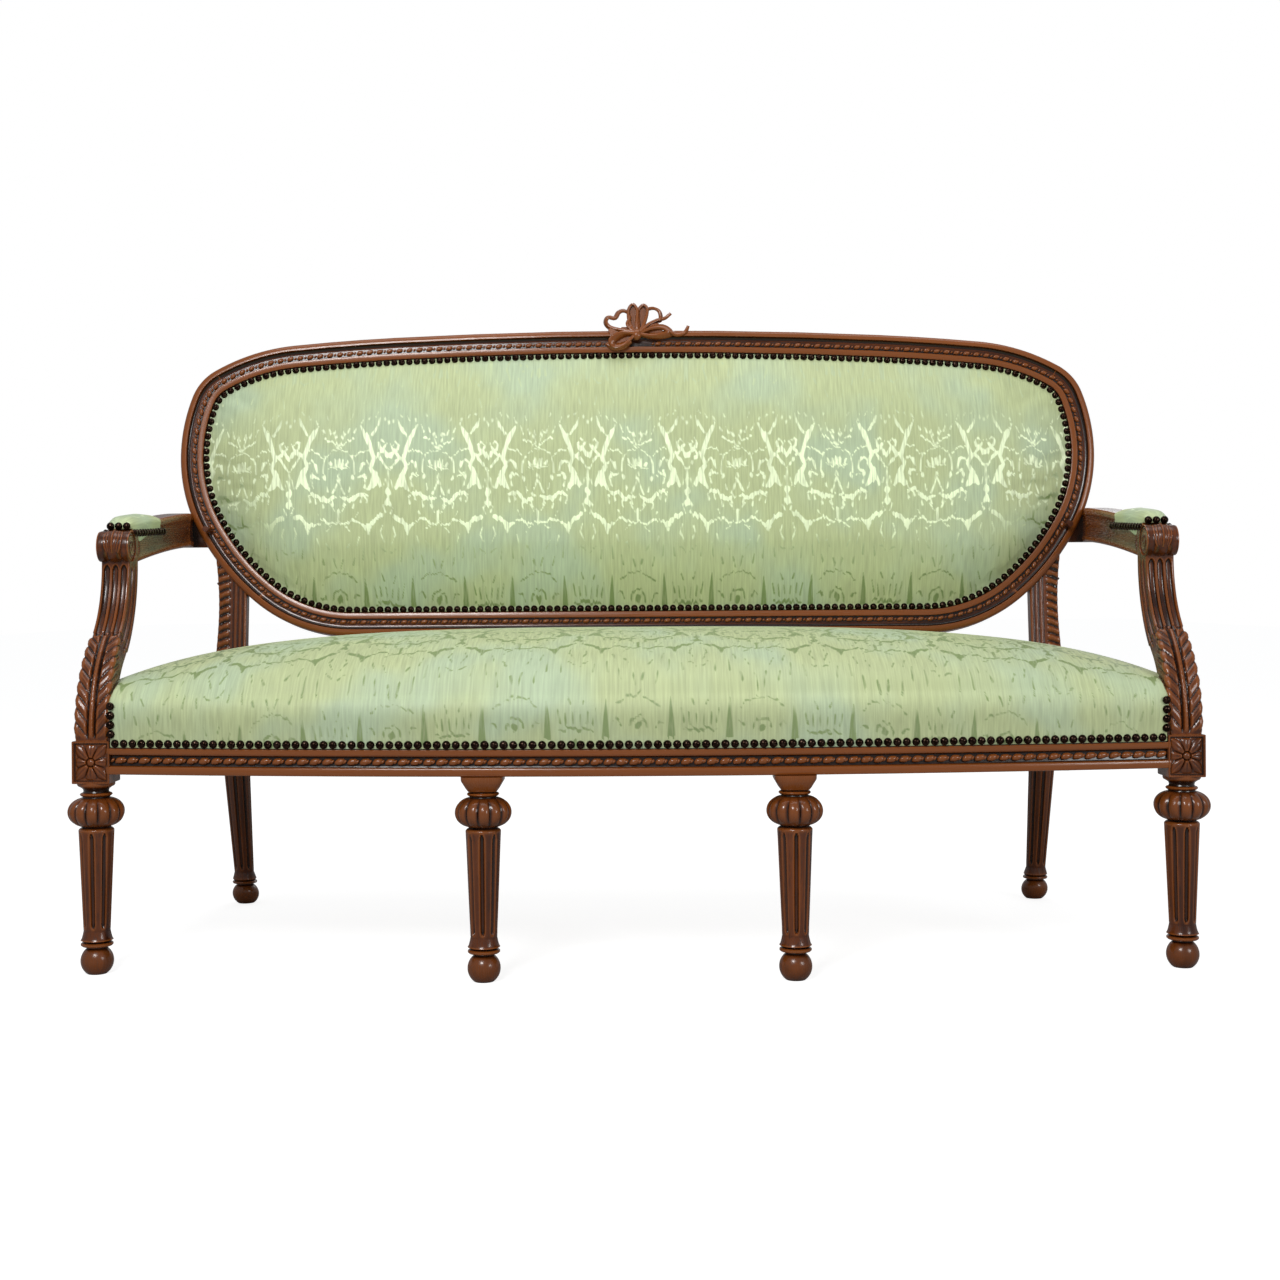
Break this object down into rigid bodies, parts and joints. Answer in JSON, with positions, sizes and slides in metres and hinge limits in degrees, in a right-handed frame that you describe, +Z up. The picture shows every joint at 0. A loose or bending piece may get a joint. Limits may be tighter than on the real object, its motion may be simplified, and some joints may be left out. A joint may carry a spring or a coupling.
{
  "type": "upholstered settee",
  "caption": "Open-armed settee with a carved walnut show frame, a bowed seat rail on turned legs, a raked moulded back with a ribbon crest, and nailed damask upholstery.",
  "frame": {"origin": "on the floor, under the middle of the settee's box", "axes": "+X to the sitter's left along the length, +Y towards the back, +Z up"},
  "size_m": [1.6242, 0.7048, 1.0445],
  "materials": {
    "walnut": "dark polished walnut, hand rubbed",
    "silk_damask": "pale sage silk damask, satin figure on a matt ground",
    "bronze_nails": "oxidised bronze, polished by rubbing",
    "jute_webbing": "woven jute",
    "burlap": "plain woven jute cloth",
    "horsehair": "curled hair stuffing",
    "spring_steel": "drawn spring wire",
    "screw_steel": "bright steel"
  },
  "bodies": {
    "root": {"front_rail": "walnut", "rear_rail": "walnut", "side_rail_left": "walnut", "side_rail_right": "walnut", "cross_rail_left": "walnut", "cross_rail_right": "walnut", "corner_blocks": "walnut", "rail_dowels": "walnut", "front_leg_left": "walnut", "front_leg_right": "walnut", "inner_leg_left": "walnut", "inner_leg_right": "walnut", "rear_leg_left": "walnut", "rear_leg_right": "walnut", "arm_post_left": "walnut", "arm_post_right": "walnut", "arm_rail_left": "walnut", "arm_rail_right": "walnut", "arm_dowels": "walnut", "back_top_rail": "walnut", "back_bottom_rail": "walnut", "back_stile_left": "walnut", "back_stile_right": "walnut", "back_dowels": "walnut", "crest_bow": "walnut", "corner_screws": "screw_steel", "seat_webbing_long": "jute_webbing", "seat_webbing_cross": "jute_webbing", "seat_springs": "spring_steel", "seat_burlap": "burlap", "seat_stuffing": "horsehair", "seat_cover": "silk_damask", "back_webbing": "jute_webbing", "back_stuffing": "horsehair", "back_cover": "silk_damask", "outside_back": "silk_damask", "arm_pad_left": "silk_damask", "arm_pad_right": "silk_damask", "seat_nails": "bronze_nails", "back_nails": "bronze_nails", "outside_nails": "bronze_nails", "arm_nails": "bronze_nails"}
  },
  "joints": []
}
